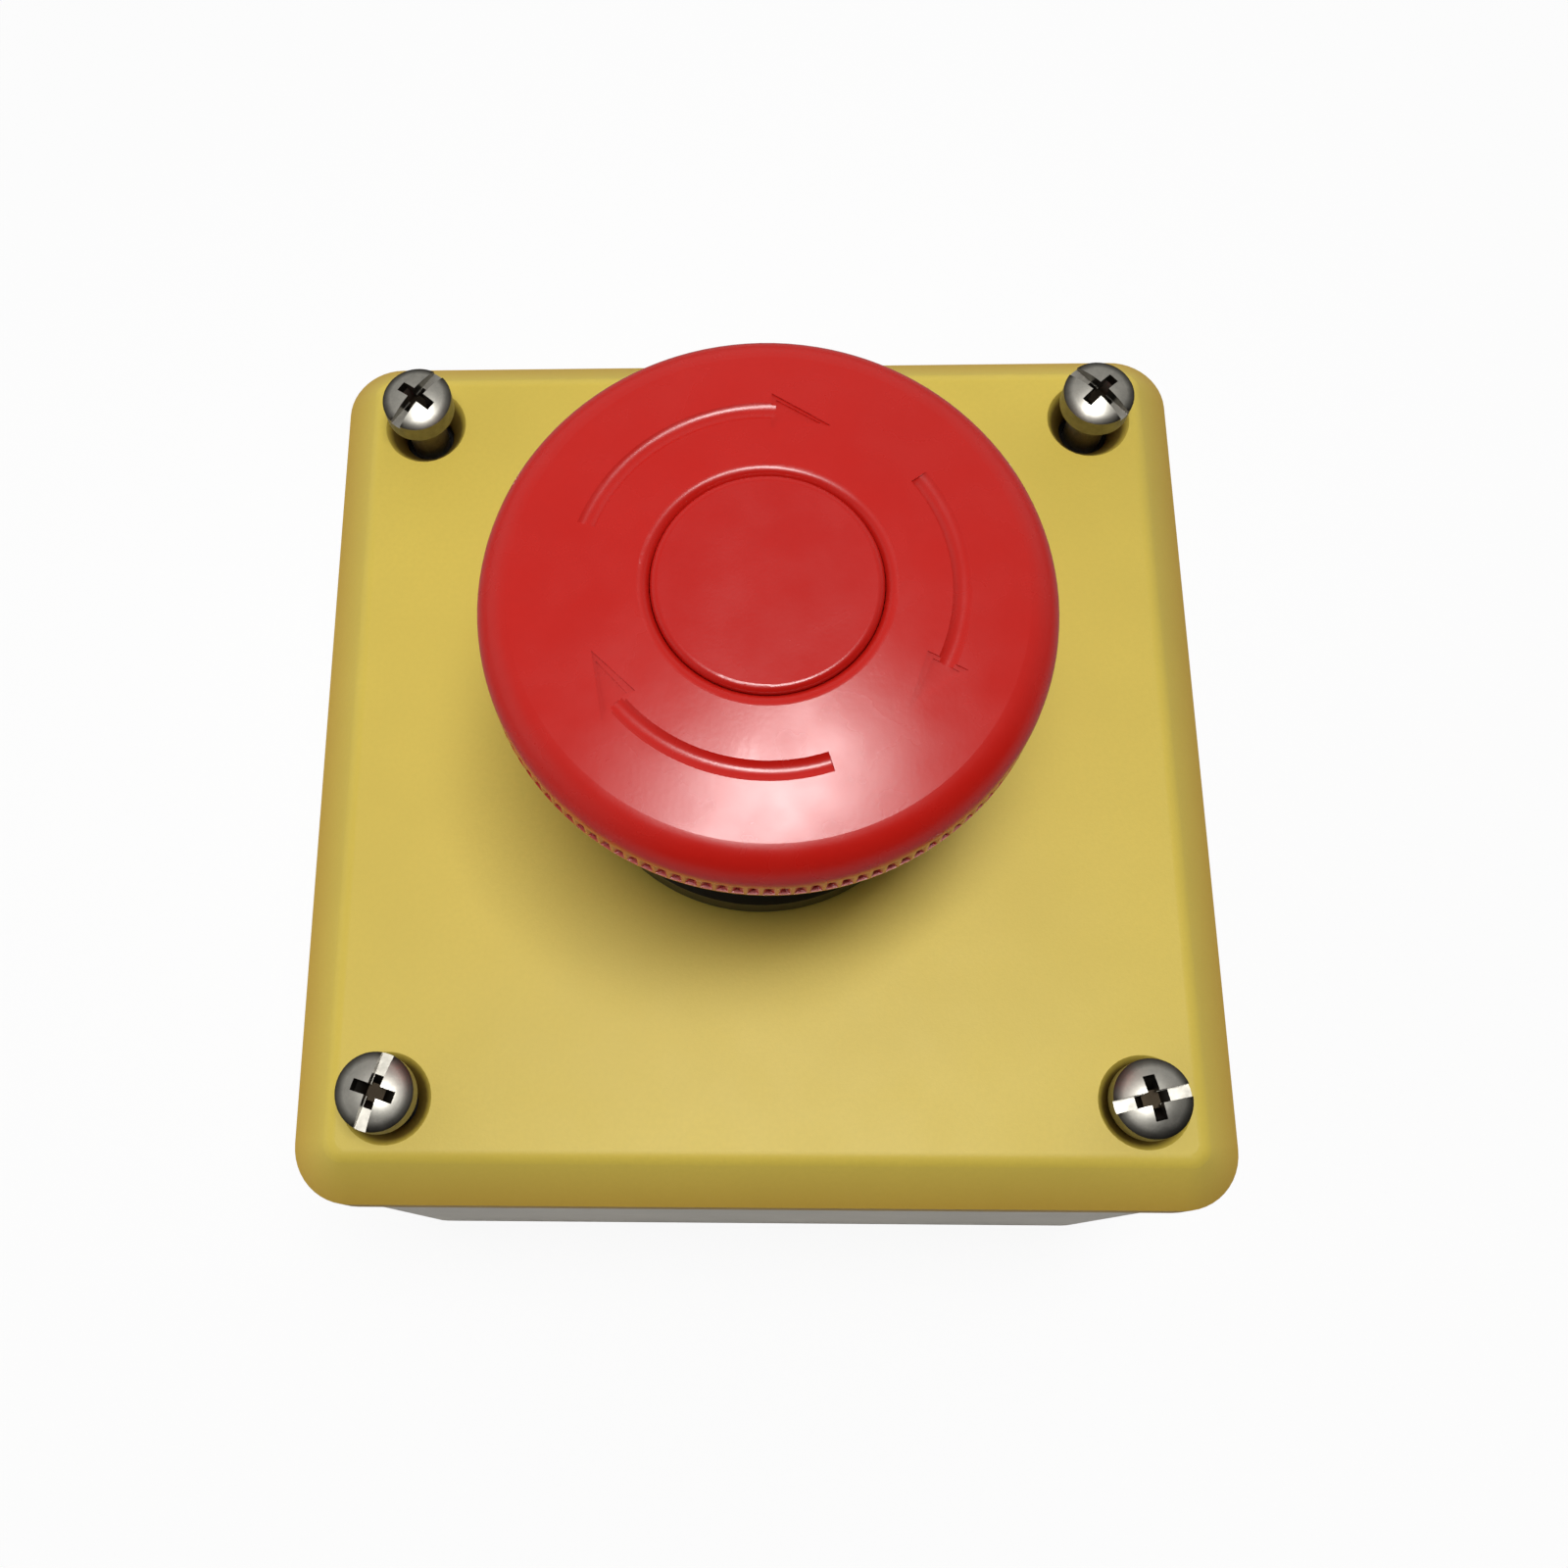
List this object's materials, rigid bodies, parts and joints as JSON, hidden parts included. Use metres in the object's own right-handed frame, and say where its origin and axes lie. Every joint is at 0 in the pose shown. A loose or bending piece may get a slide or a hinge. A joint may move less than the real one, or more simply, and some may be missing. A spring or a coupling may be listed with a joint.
{
  "type": "emergency stop push button",
  "caption": "Emergency stop station: square wall box with a red knurled mushroom head that pushes in, latches and twists to release, over a pair of contact blocks.",
  "frame": {"origin": "centre of the box's back face, which lies on the wall or table", "axes": "+Z out of the wall towards the button, +Y up the wall, +X to the right seen from the front"},
  "size_m": [0.077, 0.077, 0.0923],
  "materials": {
    "base_plastic": "fine moulded grain",
    "lid_plastic": "fine moulded grain",
    "seal_rubber": "smooth",
    "screw_steel": "nickel plated",
    "black_plastic": "moulded",
    "zinc_steel": "zinc plated",
    "spring_steel": "drawn wire",
    "white_plastic": "moulded",
    "red_plastic": "polished moulding",
    "plug_plastic": "satin moulding",
    "ball_steel": "ground",
    "contact_brass": "stamped",
    "nc_plastic": "moulded",
    "no_plastic": "moulded",
    "nc_plastic_mover": "moulded",
    "no_plastic_mover": "moulded"
  },
  "bodies": {
    "enclosure": {"base_box": "base_plastic", "lid": "lid_plastic", "lid_seal": "seal_rubber", "screw_washers": "seal_rubber", "panel_seal": "seal_rubber", "operator_body": "black_plastic", "bezel_ring": "black_plastic", "neck_seal": "seal_rubber", "lock_nut": "black_plastic", "contact_holder": "black_plastic", "holder_screws": "zinc_steel", "return_spring": "spring_steel", "nc_housing": "nc_plastic", "nc_side_cover": "nc_plastic", "nc_terminals": "contact_brass", "nc_terminal_screws": "zinc_steel", "nc_wire_clamps": "contact_brass", "nc_plunger_spring": "spring_steel", "no_housing": "no_plastic", "no_side_cover": "no_plastic", "no_terminals": "contact_brass", "no_terminal_screws": "zinc_steel", "no_wire_clamps": "contact_brass", "no_plunger_spring": "spring_steel"},
    "spindle": {"spindle": "white_plastic", "cap_screw": "zinc_steel", "twist_spring": "spring_steel"},
    "head": {"mushroom_cap": "red_plastic", "centre_plug": "plug_plastic"},
    "latch_left": {"latch_ball_left": "ball_steel", "latch_spring_left": "spring_steel"},
    "latch_right": {"latch_ball_right": "ball_steel", "latch_spring_right": "spring_steel"},
    "nc_plunger": {"nc_plunger": "nc_plastic_mover", "nc_bridge": "contact_brass", "nc_contact_spring": "spring_steel"},
    "no_plunger": {"no_plunger": "no_plastic_mover", "no_bridge": "contact_brass", "no_contact_spring": "spring_steel"},
    "cover_screw_far_left": {"cover_screw_far_left": "screw_steel"},
    "cover_screw_far_right": {"cover_screw_far_right": "screw_steel"},
    "cover_screw_near_left": {"cover_screw_near_left": "screw_steel"},
    "cover_screw_near_right": {"cover_screw_near_right": "screw_steel"}
  },
  "joints": [
    {"name": "push", "type": "slide", "parent": "enclosure", "child": "spindle", "axis": [0, 0, -1], "range_m": [0, 0.0045], "stiffness_N_per_m": 2000, "springref_m": -0.003, "deforming": ["return_spring"]},
    {"name": "twist", "type": "hinge", "parent": "spindle", "child": "head", "pos_m": [0, 0, 0.085], "axis": [0, 0, -1], "range_deg": [0, 45], "stiffness_Nm_per_rad": 0.05, "springref_deg": -11.46},
    {"name": "nc_plunger_slide", "type": "slide", "parent": "enclosure", "child": "nc_plunger", "axis": [0, 0, -1], "range_m": [0, 0.0045], "deforming": ["nc_plunger_spring"]},
    {"name": "no_plunger_slide", "type": "slide", "parent": "enclosure", "child": "no_plunger", "axis": [0, 0, -1], "range_m": [0, 0.0045], "deforming": ["no_plunger_spring"]},
    {"name": "latch_left_slide", "type": "slide", "parent": "enclosure", "child": "latch_left", "axis": [1, 0, 0], "range_m": [0, 0.001]},
    {"name": "latch_right_slide", "type": "slide", "parent": "enclosure", "child": "latch_right", "axis": [-1, 0, 0], "range_m": [0, 0.001]},
    {"name": "cover_screw_far_left_slide", "type": "slide", "parent": "enclosure", "child": "cover_screw_far_left", "axis": [0, 0, -1], "range_m": [0, 0.004]},
    {"name": "cover_screw_far_right_slide", "type": "slide", "parent": "enclosure", "child": "cover_screw_far_right", "axis": [0, 0, -1], "range_m": [0, 0.0038]},
    {"name": "cover_screw_near_left_slide", "type": "slide", "parent": "enclosure", "child": "cover_screw_near_left", "axis": [0, 0, -1], "range_m": [0, 0.0039]},
    {"name": "cover_screw_near_right_slide", "type": "slide", "parent": "enclosure", "child": "cover_screw_near_right", "axis": [0, 0, -1], "range_m": [0, 0.0018]}
  ],
  "couplings": [
    {"joint": "nc_plunger_slide", "follows": "push", "ratio": 1},
    {"joint": "no_plunger_slide", "follows": "push", "ratio": 1},
    {"joint": "latch_left_slide", "follows": "push", "ratio": 0.2222},
    {"joint": "latch_right_slide", "follows": "push", "ratio": 0.2222}
  ]
}
